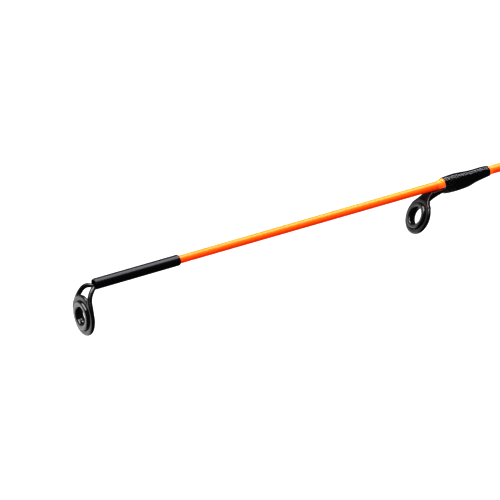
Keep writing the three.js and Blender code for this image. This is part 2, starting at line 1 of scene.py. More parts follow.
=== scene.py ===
"""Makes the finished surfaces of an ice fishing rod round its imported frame, and a studio to show it in.

The rod lies along X with its tip at -X. Its guides hang at -Z. Meshes are shaped in millimetres and are
brought to metres when they become objects.
"""

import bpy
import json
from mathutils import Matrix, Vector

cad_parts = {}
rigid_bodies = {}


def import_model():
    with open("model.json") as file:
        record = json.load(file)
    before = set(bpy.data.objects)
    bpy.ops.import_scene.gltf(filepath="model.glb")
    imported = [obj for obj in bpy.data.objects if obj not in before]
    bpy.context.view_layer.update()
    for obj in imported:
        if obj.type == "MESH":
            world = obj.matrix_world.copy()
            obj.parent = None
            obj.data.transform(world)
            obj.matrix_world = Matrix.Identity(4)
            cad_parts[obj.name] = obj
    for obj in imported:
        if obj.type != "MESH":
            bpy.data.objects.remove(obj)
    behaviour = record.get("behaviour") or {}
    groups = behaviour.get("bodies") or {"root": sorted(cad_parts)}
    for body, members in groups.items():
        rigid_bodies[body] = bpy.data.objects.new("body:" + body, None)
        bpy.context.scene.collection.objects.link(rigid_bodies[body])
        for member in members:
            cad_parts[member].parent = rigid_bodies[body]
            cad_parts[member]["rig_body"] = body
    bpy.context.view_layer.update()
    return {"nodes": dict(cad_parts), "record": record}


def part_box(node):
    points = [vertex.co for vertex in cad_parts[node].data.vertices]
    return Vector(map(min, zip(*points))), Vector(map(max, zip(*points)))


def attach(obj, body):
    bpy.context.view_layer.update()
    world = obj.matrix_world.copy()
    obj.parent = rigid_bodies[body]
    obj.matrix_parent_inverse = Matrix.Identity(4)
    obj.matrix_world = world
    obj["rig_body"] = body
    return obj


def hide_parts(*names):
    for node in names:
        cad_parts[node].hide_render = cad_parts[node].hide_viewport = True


bl_info = {
    "name": "Ice Fishing Rod",
    "version": (1, 0, 0),
    "blender": (4, 5, 0),
    "location": "3D View > Sidebar > Ice Rod",
    "description": "Builds the blank, guides, wraps, reel seat and grips of an ice fishing rod",
    "category": "Add Mesh",
}

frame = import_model()

import json
import math

import bmesh
import bpy
from bpy.props import FloatProperty, FloatVectorProperty, IntProperty, PointerProperty
from mathutils import Matrix, Vector

MM = 0.001
GLUE = 0.05  # gap left for glue between bonded pieces, in millimetres
FULL_TURN = 2 * math.pi
X_AXIS = Vector((1, 0, 0))


# Measures read from the frame, in millimetres


def cad_points(node):
    return [v.co / MM for v in frame["nodes"][node].data.vertices]


def cad_box(node):
    low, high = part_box(node)
    return low / MM, high / MM


def outer_profile(node):
    """The (x, radius) stations of a turned node, where its surface is furthest from the blank's axis."""
    stations = {}
    for point in cad_points(node):
        x = round(point.x, 2)
        stations[x] = max(stations.get(x, 0), math.hypot(point.y, point.z))
    return sorted(stations.items())


def bore_radius(node):
    return min(math.hypot(p.y, p.z) for p in cad_points(node))


def span(node):
    low, high = cad_box(node)
    return low.x, high.x


def along(stations, x):
    """The value at x on straight lines between sorted (x, value) stations."""
    if x <= stations[0][0]:
        return stations[0][1]
    for (x0, v0), (x1, v1) in zip(stations, stations[1:]):
        if x <= x1:
            return v0 + (v1 - v0) * (x - x0) / (x1 - x0)
    return stations[-1][1]


BLANK_STATIONS = outer_profile("rod_blank")


def blank_radius(x):
    return along(BLANK_STATIONS, x)


class Ring:
    """Where a ring insert sits, how it leans, and how large it is."""

    def __init__(self, node, tilt):
        low, high = cad_box(node)
        self.centre = (low + high) / 2
        self.centre.y = 0
        self.tilt = tilt
        self.place = Matrix.Translation(self.centre) @ Matrix.Rotation(tilt, 4, "Y")
        own = [self.place.inverted() @ p for p in cad_points(node)]
        radii = [math.hypot(p.y, p.z) for p in own]
        self.hole = min(radii)
        self.seat = max(radii)
        self.depth = max(p.x for p in own) - min(p.x for p in own)


# Sizes and colours that a user would change


def number(name, description, default, **options):
    return FloatProperty(name=name, description=description, default=default, **options)


def vector(name, description, default, **options):
    size = len(default)
    return FloatVectorProperty(name=name, description=description, default=default, size=size, **options)


def length(name, description, default):
    return number(name, description, default, min=0)


def angle(name, description, degrees):
    return number(name, description, math.radians(degrees), subtype="ANGLE")


def colour(name, description, default):
    return vector(name, description, default, subtype="COLOR", min=0, max=1)


def place(name, description, default):
    return vector(name, description, default, subtype="XYZ", unit="LENGTH")


class RodSizes(bpy.types.PropertyGroup):
    """Sizes of the finishing detail, in millimetres unless a unit is shown"""

    round_steps: IntProperty(
        name="Round Steps", description="Facets round a turned piece", default=64, min=16
    )
    tip_tilt: angle("Tip-Top Tilt", "Lean of the tip-top's ring", 2.8)
    guide_tilt: angle("Guide Tilt", "Lean of the first two guides' rings", 27.4)
    third_tilt: angle("Third Guide Tilt", "Lean of the third guide's ring", 26)
    stripper_tilt: angle("Stripper Tilt", "Lean of the largest guide's ring", 18)
    frame_gauge: length("Frame Gauge", "Thickness of the smallest guide's stamping", 0.72)
    leg_radius: length("Leg Radius", "Half the thickness of the tip-top's legs", 0.39)
    neck_width: length("Neck Width", "Width of the smallest guide where it meets the blank", 1.9)
    foot_width: length("Foot Width", "Width of the smallest guide's foot under the thread", 1.0)
    foot_thickness: length("Foot Thickness", "Thickness of that foot", 0.62)
    neck_bend: length("Neck Bend", "How far the neck bends towards the butt", 1.1)
    thread_pitch: length("Thread Pitch", "Distance between two turns of winding thread", 0.17)
    coat_thickness: length("Coat Thickness", "Clear epoxy over the thread", 0.1)
    coat_fringe: length("Coat Fringe", "Clear epoxy beyond the end of the thread", 1.25)
    seat_pitch: length("Seat Pitch", "Pitch of the reel seat's screw", 3.0)
    flutes: IntProperty(name="Flutes", description="Grip flutes round the lock nut", default=12, min=4)


class RodColours(bpy.types.PropertyGroup):
    """Base colours of the rod's finishes"""

    blank: colour("Blank", "Fluorescent lacquer of the blank", (1.0, 0.24, 0.003))
    blank_deep: colour("Blank Deep", "Darker streaks in that lacquer", (0.97, 0.21, 0.002))
    gunmetal: colour("Gunmetal", "Plating of the stampings", (0.082, 0.08, 0.08))
    tube: colour("Tube", "Black plating of the tip-top's tube", (0.0035, 0.0035, 0.0045))
    ceramic: colour("Ceramic", "Ring inserts", (0.012, 0.011, 0.012))
    thread: colour("Thread", "Winding thread", (0.003, 0.003, 0.0035))
    foam: colour("Foam", "Closed-cell foam of the grips", (0.05, 0.05, 0.053))
    plastic: colour("Plastic", "Reel seat, hoods and nut", (0.03, 0.03, 0.033))
    rubber: colour("Rubber", "Winding check and butt cap", (0.026, 0.026, 0.028))
    trim: colour("Trim", "Anodised trim rings", (0.95, 0.2, 0.015))
    cork: colour("Cork", "Arbors inside the reel seat", (0.42, 0.25, 0.13))
    floor: colour("Floor", "Studio floor", (0.3, 0.295, 0.29))


class StudioSettings(bpy.types.PropertyGroup):
    """Camera, floor and light"""

    azimuth: angle("Azimuth", "Camera's turn round the rod", -29.7)
    elevation: angle("Elevation", "Camera's height over the rod", 17.9)
    roll: angle("Roll", "Camera's turn about its own line of sight", -6.27)
    distance: number("Distance", "Camera to the point it looks at", 0.4, unit="LENGTH")
    lens: number("Lens", "Focal length", 172.8, unit="CAMERA")
    aim: place("Aim", "Point looked at, from the tip-top tube's mouth", (0.02345, -0.01235, 0.0027))
    floor_drop: number("Floor Drop", "Floor below the rod's axis", 0.26, unit="LENGTH")
    floor_glow: number("Floor Glow", "Light that the floor gives off", 0.76)
    softbox_power: number("Softbox Power", "Power of the overhead softbox", 112, unit="POWER")
    softbox_size: vector("Softbox Size", "Length and width of the softbox", (2.8, 1.9), unit="LENGTH")
    softbox_place: place("Softbox Place", "Middle of the softbox", (-0.1, -0.12, 1.5))
    glow_from: vector("Glow From", "Way to the brightest surroundings", (-0.5, 0.75, -0.43), subtype="XYZ")
    glow: number("Glow", "Strength of the brightest surroundings", 3.3)
    dimmest: number("Dimmest", "Strength of the dimmest surroundings", 0.14)
    contrast: number("Contrast", "Display gamma of the picture", 0.66)


def sizes():
    return bpy.context.scene.rod_sizes


def colours():
    return bpy.context.scene.rod_colours


# Mesh tools: each takes or gives a bmesh in millimetres


def turned(profile, steps=None, closed=False, merge=True):
    """A profile of (x, radius) points spun about the X axis."""
    bm = bmesh.new()
    verts = [bm.verts.new((x, 0, radius)) for x, radius in profile]
    edges = [bm.edges.new(pair) for pair in zip(verts, verts[1:])]
    if closed:
        edges.append(bm.edges.new((verts[-1], verts[0])))
    bmesh.ops.spin(
        bm,
        geom=verts + edges,
        cent=(0, 0, 0),
        axis=X_AXIS,
        angle=FULL_TURN,
        steps=steps or sizes().round_steps,
        use_merge=merge,
    )
    if merge:
        sealed(bm)
    return bm


def patched(bm):
    """Closes the slivers that cutting leaves open."""
    bmesh.ops.dissolve_degenerate(bm, dist=1e-4, edges=bm.edges[:])
    open_edges = [edge for edge in bm.edges if edge.is_boundary]
    bmesh.ops.holes_fill(bm, edges=open_edges, sides=0)
    return bm


def sealed(bm):
    """Merges what meets and turns every face outwards."""
    bmesh.ops.remove_doubles(bm, verts=bm.verts, dist=1e-4)
    bmesh.ops.recalc_face_normals(bm, faces=bm.faces)
    return bm


def rounded(corners, segments=5):
    """(x, radius, fillet) corners as (x, radius) points, with an arc in place of each filleted corner."""
    points = []
    count = len(corners)
    for i, (x, r, fillet) in enumerate(corners):
        here = Vector((x, r))
        if not fillet:
            points.append((x, r))
            continue
        before = Vector(corners[i - 1][:2]) - here
        after = Vector(corners[(i + 1) % count][:2]) - here
        before.normalize()
        after.normalize()
        half = before.angle(after) / 2
        reach = fillet / math.tan(half)
        centre = here + (before + after).normalized() * (fillet / math.sin(half))
        first = here + before * reach - centre
        last = here + after * reach - centre
        for step in range(segments + 1):
            points.append(tuple(centre + first.slerp(last, step / segments).normalized() * fillet))
    return points


def flowing(stations, steps=6):
    """Points of a smooth curve through (x, radius) stations."""
    points = []
    for i in range(len(stations) - 1):
        p0 = Vector(stations[max(i - 1, 0)])
        p1, p2 = Vector(stations[i]), Vector(stations[i + 1])
        p3 = Vector(stations[min(i + 2, len(stations) - 1)])
        for step in range(steps):
            t = step / steps
            bend = (2 * p0 - 5 * p1 + 4 * p2 - p3) * t**2 + (3 * p1 - p0 - 3 * p2 + p3) * t**3
            points.append(tuple((2 * p1 + (p2 - p0) * t + bend) / 2))
    points.append(tuple(stations[-1]))
    return points


def bent(start, control, end, steps):
    """Points of the quadratic curve from start to end."""
    shares = [step / steps for step in range(steps + 1)]
    return [start * (1 - t) ** 2 + control * 2 * t * (1 - t) + end * t**2 for t in shares]


def plate(outline, thickness, upright=True):
    """A closed outline made a plate. Upright, its points are (x, z) and it is centred on y = 0;
    otherwise they are (y, z) and it is centred on x = 0."""
    bm = bmesh.new()
    half = thickness / 2
    if upright:
        verts = [bm.verts.new((a, -half, b)) for a, b in outline]
        push = (0, thickness, 0)
    else:
        verts = [bm.verts.new((-half, a, b)) for a, b in outline]
        push = (thickness, 0, 0)
    face = bm.faces.new(verts)
    grown = bmesh.ops.extrude_face_region(bm, geom=[face])
    moved = [g for g in grown["geom"] if isinstance(g, bmesh.types.BMVert)]
    bmesh.ops.translate(bm, verts=moved, vec=push)
    return sealed(bm)


def rod_along(points, radius, taper=None):
    """A round bar that follows a smooth curve through points, from a bevelled curve."""
    curve = bpy.data.curves.new("bar", "CURVE")
    curve.dimensions = "3D"
    curve.bevel_depth = radius
    curve.bevel_resolution = 5
    curve.use_fill_caps = True
    curve.resolution_u = 10
    spline = curve.splines.new("BEZIER")
    spline.bezier_points.add(len(points) - 1)
    for i, (handle, place) in enumerate(zip(spline.bezier_points, points)):
        handle.co = place
        handle.handle_left_type = handle.handle_right_type = "AUTO"
        handle.radius = taper[i] if taper else 1
    obj = bpy.data.objects.new("bar", curve)
    bm = bmesh.new()
    mesh = obj.to_mesh()
    bm.from_mesh(mesh)
    obj.to_mesh_clear()
    bpy.data.objects.remove(obj)
    bpy.data.curves.remove(curve)
    return sealed(bm)


def linked(bm, name):
    """The bmesh as an object in the scene."""
    mesh = bpy.data.meshes.new(name)
    bm.to_mesh(mesh)
    bm.free()
    obj = bpy.data.objects.new(name, mesh)
    bpy.context.scene.collection.objects.link(obj)
    return obj


def joined(parts):
    """Several bmeshes as one, with their shells still apart."""
    whole = bmesh.new()
    for part in parts:
        mesh = bpy.data.meshes.new("part")
        part.to_mesh(mesh)
        part.free()
        whole.from_mesh(mesh)
        bpy.data.meshes.remove(mesh)
    return whole


def with_modifiers(bm, set_up, helpers=()):
    """The bmesh after the modifiers that set_up adds to its object."""
    obj = linked(bm, "work")
    set_up(obj)
    evaluated = obj.evaluated_get(bpy.context.evaluated_depsgraph_get())
    made = bmesh.new()
    made.from_mesh(evaluated.to_mesh())
    evaluated.to_mesh_clear()
    for used in (obj, *helpers):
        mesh = used.data
        bpy.data.objects.remove(used)
        bpy.data.meshes.remove(mesh)
    return made


def fused(parts, voxel, relax=6):
    """Overlapping shells melted into one skin, with small fillets where they meet."""

    def melt(obj):
        remesh = obj.modifiers.new("melt", "REMESH")
        remesh.mode = "VOXEL"
        remesh.voxel_size = voxel
        smooth = obj.modifiers.new("relax", "SMOOTH")
        smooth.factor = 0.5
        smooth.iterations = relax

    return with_modifiers(joined(parts), melt)


def combined(bm, others, operation="UNION"):
    """The bmesh after a boolean with each of the others."""
    helpers = [linked(other, "helper") for other in others]

    def combine(obj):
        for helper in helpers:
            modifier = obj.modifiers.new("combine", "BOOLEAN")
            modifier.operation = operation
            modifier.solver = "EXACT"
            modifier.object = helper

    return with_modifiers(bm, combine, helpers)


def carved(bm, cutters):
    """The bmesh with each cutter's volume taken out of it."""
    return combined(bm, cutters, "DIFFERENCE")


def block(low, high):
    bm = bmesh.new()
    bmesh.ops.create_cube(bm, size=1)
    size = Vector(high) - Vector(low)
    bmesh.ops.scale(bm, vec=size, verts=bm.verts)
    bmesh.ops.translate(bm, vec=(Vector(low) + Vector(high)) / 2, verts=bm.verts)
    return bm


def bar(x0, x1, radius, steps=64):
    return turned([(x0, 0), (x0, radius), (x1, radius), (x1, 0)], steps)


def sleeve(node, fillet, steps):
    """A plain sleeve of the node's size with its outer edges rounded."""
    low, high = span(node)
    bore, outer = bore_radius(node), cad_box(node)[1].z
    corners = [(low, bore, 0), (low, outer, fillet), (high, outer, fillet), (high, bore, 0)]
    return turned(rounded(corners), steps, closed=True)


def placed(bm, matrix):
    bmesh.ops.transform(bm, matrix=matrix, verts=bm.verts)
    return bm


def bored(skin, ring):
    """A stamping's skin with the seat of its ring insert cut through it."""
    return carved(skin, [placed(bar(-4, 4, ring.seat + 0.04, 72), ring.place)])


def finished(bm, name, node, material, crease=38):
    """Makes the bmesh the visible piece that stands for a node."""
    bmesh.ops.scale(bm, vec=(MM, MM, MM), verts=bm.verts)
    obj = linked(bm, name)
    mesh = obj.data
    mesh.polygons.foreach_set("use_smooth", [True] * len(mesh.polygons))
    mesh.set_sharp_from_angle(angle=math.radians(crease))
    mesh.materials.append(material)
    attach(obj, frame["nodes"][node]["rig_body"])
    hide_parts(node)
    return obj


# Materials


PATTERN_RANGE = (0.3, 0.7)  # the part of a pattern's 0 to 1 that is spread over a colour or a roughness


class Finish:
    """A node material whose constants sit on the shader's own sockets."""

    def __init__(self, name, **constants):
        self.material = bpy.data.materials.new(name)
        self.material.use_nodes = True
        self.nodes = self.material.node_tree.nodes
        self.links = self.material.node_tree.links
        self.shader = self.nodes["Principled BSDF"]
        self.coords = self.nodes.new("ShaderNodeTexCoord")
        self.last_bump = None
        for socket, value in constants.items():
            self.shader.inputs[socket.replace("_", " ")].default_value = value

    def place(self, stretch=(1, 1, 1)):
        mapping = self.nodes.new("ShaderNodeMapping")
        mapping.inputs["Scale"].default_value = stretch
        self.links.new(self.coords.outputs["Object"], mapping.inputs["Vector"])
        return mapping.outputs["Vector"]

    def noise(self, per_mm, detail=3, stretch=(1, 1, 1)):
        noise = self.nodes.new("ShaderNodeTexNoise")
        noise.inputs["Scale"].default_value = per_mm / MM
        noise.inputs["Detail"].default_value = detail
        self.links.new(self.place(stretch), noise.inputs["Vector"])
        return noise.outputs["Fac"]

    def cells(self, per_mm):
        voronoi = self.nodes.new("ShaderNodeTexVoronoi")
        voronoi.inputs["Scale"].default_value = per_mm / MM
        self.links.new(self.place(), voronoi.inputs["Vector"])
        return voronoi.outputs["Distance"]

    def tint(self, value, dark, light):
        ramp = self.nodes.new("ShaderNodeValToRGB")
        for element, position, tone in zip(ramp.color_ramp.elements, PATTERN_RANGE, (dark, light)):
            element.position = position
            element.color = (*tone, 1)
        self.links.new(value, ramp.inputs["Fac"])
        self.links.new(ramp.outputs["Color"], self.shader.inputs["Base Color"])

    def roughen(self, value, low, high):
        spread = self.nodes.new("ShaderNodeMapRange")
        for socket, limit in zip(("From Min", "From Max", "To Min", "To Max"), (*PATTERN_RANGE, low, high)):
            spread.inputs[socket].default_value = limit
        self.links.new(value, spread.inputs["Value"])
        self.links.new(spread.outputs["Result"], self.shader.inputs["Roughness"])

    def bump(self, height, strength, depth_mm):
        bump = self.nodes.new("ShaderNodeBump")
        bump.inputs["Strength"].default_value = strength
        bump.inputs["Distance"].default_value = depth_mm * MM
        self.links.new(height, bump.inputs["Height"])
        if self.last_bump:
            self.links.new(self.last_bump.outputs["Normal"], bump.inputs["Normal"])
        self.last_bump = bump
        self.links.new(bump.outputs["Normal"], self.shader.inputs["Normal"])


def shade(base, factor):
    return tuple(min(1, channel * factor) for channel in base)


def blank_finish():
    """Fluorescent orange lacquer with faint lengthwise fibre streaks under a soft gloss, and a painted
    red-orange glow from its emission that lifts the shaded underside.
    """
    made = Finish(
        "fluorescent_lacquer",
        Specular_IOR_Level=0.15,
        Coat_Weight=0.6,
        Coat_Roughness=0.28,
        Coat_IOR=1.45,
        # The emission is a painted glow: it stands in for light and brightens the shaded underside to
        # red-orange.
        Emission_Color=(1.0, 0.045, 0.0, 1),
        Emission_Strength=0.7,
    )
    streaks = made.noise(0.9, detail=4, stretch=(0.06, 1, 1))
    made.tint(streaks, colours().blank_deep, colours().blank)
    made.roughen(made.noise(2.2), 0.3, 0.4)
    made.bump(streaks, 0.12, 0.02)
    return made.material


def tube_finish():
    """Gloss black plating with faint polishing lines round it."""
    made = Finish("black_plating", IOR=1.5)
    rings = made.noise(1.2, detail=4, stretch=(6, 0.4, 0.4))
    made.tint(rings, shade(colours().tube, 0.7), shade(colours().tube, 1.4))
    made.roughen(rings, 0.2, 0.3)
    made.bump(rings, 0.06, 0.01)
    return made.material


def gunmetal_finish():
    """Dark plated steel stamping, a little uneven in gloss."""
    made = Finish("gunmetal_plating", Metallic=1.0)
    cloud = made.noise(0.8, detail=4)
    made.tint(cloud, shade(colours().gunmetal, 0.8), shade(colours().gunmetal, 1.15))
    made.roughen(made.noise(3.5, detail=5), 0.22, 0.36)
    made.bump(made.noise(7, detail=3), 0.1, 0.012)
    return made.material


def ceramic_finish():
    """Polished black ceramic."""
    made = Finish("polished_ceramic", IOR=1.76)
    haze = made.noise(1.5, detail=4)
    made.tint(haze, shade(colours().ceramic, 0.8), shade(colours().ceramic, 1.3))
    made.roughen(haze, 0.1, 0.17)
    return made.material


def thread_finish():
    """Black nylon winding thread, soaked in epoxy."""
    made = Finish("winding_thread", Specular_IOR_Level=0.0)
    strands = made.noise(6, detail=3, stretch=(1, 3, 3))
    made.tint(strands, shade(colours().thread, 0.6), shade(colours().thread, 1.5))
    made.roughen(strands, 0.7, 0.85)
    made.bump(strands, 0.1, 0.01)
    return made.material


def epoxy_finish():
    """Clear wrap finish with slow waves in its surface."""
    made = Finish("clear_epoxy", Transmission_Weight=1.0, IOR=1.4)
    waves = made.noise(0.35, detail=1)
    made.tint(waves, (1, 0.985, 0.97), (1, 1, 1))
    made.roughen(waves, 0.2, 0.26)
    made.bump(waves, 0.04, 0.05)
    return made.material


def foam_finish():
    """Closed-cell foam, ground matt, with fine open pores."""
    made = Finish("closed_cell_foam", IOR=1.35, Sheen_Weight=0.12, Sheen_Roughness=0.6)
    pores = made.cells(3.4)
    cloud = made.noise(0.16, detail=5)
    made.tint(cloud, shade(colours().foam, 0.75), shade(colours().foam, 1.3))
    made.roughen(made.noise(1.1), 0.78, 0.95)
    made.bump(pores, 0.55, 0.09)
    made.bump(made.noise(1.7, detail=5), 0.3, 0.08)
    return made.material


def plastic_finish():
    """Fibre-filled black plastic with a fine spark-eroded texture."""
    made = Finish("seat_plastic", IOR=1.5)
    made.tint(made.noise(0.25, detail=5), shade(colours().plastic, 0.8), shade(colours().plastic, 1.25))
    made.roughen(made.noise(1.6, detail=4), 0.36, 0.5)
    made.bump(made.noise(5.5, detail=3), 0.32, 0.02)
    return made.material


def rubber_finish():
    made = Finish("matt_rubber", IOR=1.5)
    made.tint(made.noise(0.3, detail=4), shade(colours().rubber, 0.8), shade(colours().rubber, 1.3))
    made.roughen(made.noise(1.3), 0.55, 0.72)
    made.bump(made.noise(4, detail=4), 0.25, 0.03)
    return made.material


def trim_finish():
    """Anodised aluminium with the lathe's rings in it."""
    made = Finish("anodised_trim", Metallic=1.0, IOR=1.5)
    rings = made.noise(2.5, detail=3, stretch=(4, 0.2, 0.2))
    made.tint(rings, shade(colours().trim, 0.85), colours().trim)
    made.roughen(rings, 0.24, 0.36)
    made.bump(rings, 0.1, 0.02)
    return made.material


def cork_finish():
    made = Finish("cork_composite", IOR=1.4)
    grains = made.cells(0.9)
    made.tint(grains, shade(colours().cork, 0.45), colours().cork)
    made.roughen(made.noise(1), 0.75, 0.9)
    made.bump(grains, 0.4, 0.1)
    return made.material


FINISHES = {
    "blank": blank_finish,
    "tube": tube_finish,
    "gunmetal": gunmetal_finish,
    "ceramic": ceramic_finish,
    "thread": thread_finish,
    "epoxy": epoxy_finish,
    "foam": foam_finish,
    "plastic": plastic_finish,
    "rubber": rubber_finish,
    "trim": trim_finish,
    "cork": cork_finish,
}
finish_cache = {}


def finish(name):
    if name not in finish_cache:
        finish_cache[name] = FINISHES[name]()
    return finish_cache[name]


# The studio


class STUDIO_OT_rod_stage(bpy.types.Operator):
    """Set up the camera, the pale floor and the soft light"""

    bl_idname = "ice_rod.studio"
    bl_label = "Studio"

    def execute(self, context):
        settings = context.scene.rod_studio
        self.add_camera(context, settings)
        self.add_floor(context, settings)
        self.add_light(context, settings)
        self.add_surroundings(context, settings)
        view = context.scene.view_settings
        view.view_transform = "Standard"
        view.look = "None"
        view.gamma = settings.contrast
        return {"FINISHED"}

    def add_camera(self, context, settings):
        az, el = settings.azimuth, settings.elevation
        mouth = Vector((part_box("tip_top_tube")[0].x, 0, 0))
        aim = mouth + Vector(settings.aim)
        back = Vector((math.sin(az) * math.cos(el), -math.cos(az) * math.cos(el), math.sin(el)))
        level = Vector((math.cos(az), math.sin(az), 0))
        turn = Matrix((level, back.cross(level), back)).transposed().to_4x4()
        camera = bpy.data.cameras.new("camera")
        camera.lens = settings.lens
        camera.sensor_width = 36
        camera.clip_start = 0.01
        camera.clip_end = 50
        holder = bpy.data.objects.new("camera", camera)
        roll = Matrix.Rotation(settings.roll, 4, "Z")
        holder.matrix_world = Matrix.Translation(aim + back * settings.distance) @ turn @ roll
        context.scene.collection.objects.link(holder)
        context.scene.camera = holder

    def add_floor(self, context, settings):
        bm = bmesh.new()
        bmesh.ops.create_circle(bm, cap_ends=True, segments=96, radius=12)
        bmesh.ops.translate(bm, vec=(0, 0, -settings.floor_drop), verts=bm.verts)
        floor = linked(bm, "floor")
        paper = Finish(
            "floor_paper",
            Roughness=0.9,
            Specular_IOR_Level=0.1,
            Emission_Color=(0.97, 0.985, 1.0, 1),
            Emission_Strength=settings.floor_glow,
        )
        tone = paper.noise(0.002, detail=2)
        paper.tint(tone, shade(colours().floor, 0.985), colours().floor)
        floor.data.materials.append(paper.material)
        floor.visible_glossy = False
        floor.visible_diffuse = False

    def add_light(self, context, settings):
        light = bpy.data.lights.new("softbox", "AREA")
        light.shape = "RECTANGLE"
        light.size, light.size_y = settings.softbox_size
        light.energy = settings.softbox_power
        light.color = (0.95, 0.955, 1.0)
        box = bpy.data.objects.new("softbox", light)
        box.location = settings.softbox_place
        context.scene.collection.objects.link(box)

    def add_surroundings(self, context, settings):
        """White to the camera, and for reflections bright low behind the rod and dim in front of it."""
        world = bpy.data.worlds.new("surroundings")
        context.scene.world = world
        world.use_nodes = True
        nodes, links = world.node_tree.nodes, world.node_tree.links
        output = nodes["World Output"]
        seen = nodes["Background"]
        seen.inputs["Color"].default_value = (1, 1, 1, 1)
        seen.inputs["Strength"].default_value = 1.0
        lit = nodes.new("ShaderNodeBackground")
        direction = nodes.new("ShaderNodeTexCoord")
        toward = nodes.new("ShaderNodeVectorMath")
        toward.operation = "DOT_PRODUCT"
        toward.inputs[1].default_value = settings.glow_from
        spread = nodes.new("ShaderNodeMapRange")
        spread.interpolation_type = "SMOOTHSTEP"
        limits = (0.45, 1, settings.dimmest, settings.glow)
        for socket, limit in zip(("From Min", "From Max", "To Min", "To Max"), limits):
            spread.inputs[socket].default_value = limit
        path = nodes.new("ShaderNodeLightPath")
        mix = nodes.new("ShaderNodeMixShader")
        links.new(direction.outputs["Generated"], toward.inputs[0])
        links.new(toward.outputs["Value"], spread.inputs["Value"])
        links.new(spread.outputs["Result"], lit.inputs["Strength"])
        links.new(path.outputs["Is Camera Ray"], mix.inputs["Fac"])
        links.new(lit.outputs["Background"], mix.inputs[1])
        links.new(seen.outputs["Background"], mix.inputs[2])
        links.new(mix.outputs["Shader"], output.inputs["Surface"])


# The blank and the tip-top


class ROD_OT_blank(bpy.types.Operator):
    """Turn the solid blank, with a rounded tip inside the tip-top's tube"""

    bl_idname = "ice_rod.blank"
    bl_label = "Blank"

    def execute(self, context):
        front, end = span("rod_blank")
        stations = [s for s in BLANK_STATIONS if s[1] > 0.1]
        taper = flowing(stations, 5)
        profile = [(front, 0), (front, stations[0][1] - 0.15), (front + 0.15, stations[0][1])]
        profile += taper[1:] + [(end, 0)]
        finished(turned(profile, 48), "blank", "rod_blank", finish("blank"))
        return {"FINISHED"}


def liner(ring):
    """A ring insert: a fat polished bead with a groove behind its lip where the frame holds it."""
    wall = (ring.seat - ring.hole) / 2
    half = ring.depth / 2
    crown = min(wall, half) * 0.92
    corners = [
        (-half * 0.45, ring.seat, 0),
        (-half, ring.seat - wall * 0.25, crown * 0.5),
        (-half, ring.hole + wall * 0.35, crown * 0.7),
        (-half * 0.2, ring.hole, half * 0.3),
        (half * 0.2, ring.hole, half * 0.3),
        (half, ring.hole + wall * 0.35, crown * 0.7),
        (half, ring.seat - wall * 0.25, crown * 0.5),
        (half * 0.45, ring.seat, 0),
    ]
    return placed(turned(rounded(corners, 6), 72, closed=True), ring.place)


def holder(ring, radius, gauge):
    """The round band of a stamping that holds the insert, rounded over at its outer edge."""
    half = gauge / 2
    corners = [
        (-half, ring.seat + GLUE, 0),
        (-half, radius, half * 0.85),
        (half, radius, half * 0.85),
        (half, ring.seat + GLUE, 0),
    ]
    return placed(turned(rounded(corners, 5), 72, closed=True), ring.place)


TIP_GAUGE = 0.72  # thickness of the tip-top's stamping, in millimetres

# One leg of the tip-top, in millimetres: (x from the tube's mouth, y, z, share of the leg's thickness).
LEG_ROUTE = [
    (1.2, 0.29, -0.32, 0.74),
    (0.1, 0.31, -0.31, 0.78),
    (-0.42, 0.72, -0.22, 0.98),
    (-0.79, 1.2, -0.26, 1.04),
    (-1.31, 1.58, -0.56, 1.05),
    (-1.85, 1.86, -1.2, 1.06),
    (-2.25, 2.2, -2.05, 1.1),
    (-2.45, 2.68, -2.95, 1.1),
    (-2.57, 3.05, -3.9, 1.0),
    (-2.6, 3.15, -4.7, 0.85),
]


class ROD_OT_tip_top(bpy.types.Operator):
    """Make the tip-top: its tube, its two-legged stamping and its ring insert"""

    bl_idname = "ice_rod.tip_top"
    bl_label = "Tip-Top"

    def execute(self, context):
        self.add_tube()
        ring = Ring("tip_top_ring", sizes().tip_tilt)
        finished(liner(ring), "tip_ring", "tip_top_ring", finish("ceramic"))
        self.add_stamping(ring)
        return {"FINISHED"}

    def add_tube(self):
        mouth, end = span("tip_top_tube")
        radius = cad_box("tip_top_tube")[1].z
        bore = bore_radius("tip_top_tube")
        corners = [
            (mouth, bore, 0.04),
            (mouth, radius, 0.06),
            (end - 0.2, radius, 0.1),
            (end, radius - 0.12, 0.05),
            (end, bore, 0),
        ]
        profile = rounded(corners, 4)
        finished(turned(profile, 64, closed=True), "tip_tube", "tip_top_tube", finish("tube"))

    def add_stamping(self, ring):
        mouth, _ = span("tip_top_tube")
        high = cad_box("tip_top_frame")[1]
        parts = [holder(ring, high.y, TIP_GAUGE)]
        _, *inner = LEG_ROUTE[0]
        places = [(high.x, *inner)] + [(mouth + x, y, z, share) for x, y, z, share in LEG_ROUTE]
        taper = [share for _, _, _, share in places]
        for side in (-1, 1):
            route = [(x, side * y, z) for x, y, z, _ in places]
            parts.append(rod_along(route, sizes().leg_radius, taper))
        skin = bored(fused(parts, 0.085, relax=7), ring)
        finished(skin, "tip_frame", "tip_top_frame", finish("gunmetal"), crease=50)


# Running guides


GUIDE_TILTS = {
    "guide_1": "guide_tilt",
    "guide_2": "guide_tilt",
    "guide_3": "third_tilt",
    "guide_4": "stripper_tilt",
}


class Guide:
    """The measures that a guide's stamping is made from."""

    def __init__(self, name):
        self.ring = Ring(name + "_ring", getattr(sizes(), GUIDE_TILTS[name]))
        low, high = cad_box(name + "_frame")
        self.radius = high.y + 0.01
        smallest = cad_box("guide_1_frame")[1].y
        self.scale = high.y / smallest
        self.gauge = sizes().frame_gauge * (0.5 + 0.5 * self.scale)
        self.foot_end = high.x
        self.front_end = low.x
        self.x = self.ring.centre.x
        self.drop = -self.ring.centre.z
        self.foot_thickness = sizes().foot_thickness * math.sqrt(self.scale)
        self.bend = sizes().neck_bend * self.scale**0.8
        self.neck_half = sizes().neck_width / 2 * self.scale**0.8
        self.foot_half = sizes().foot_width / 2 * self.scale**0.8


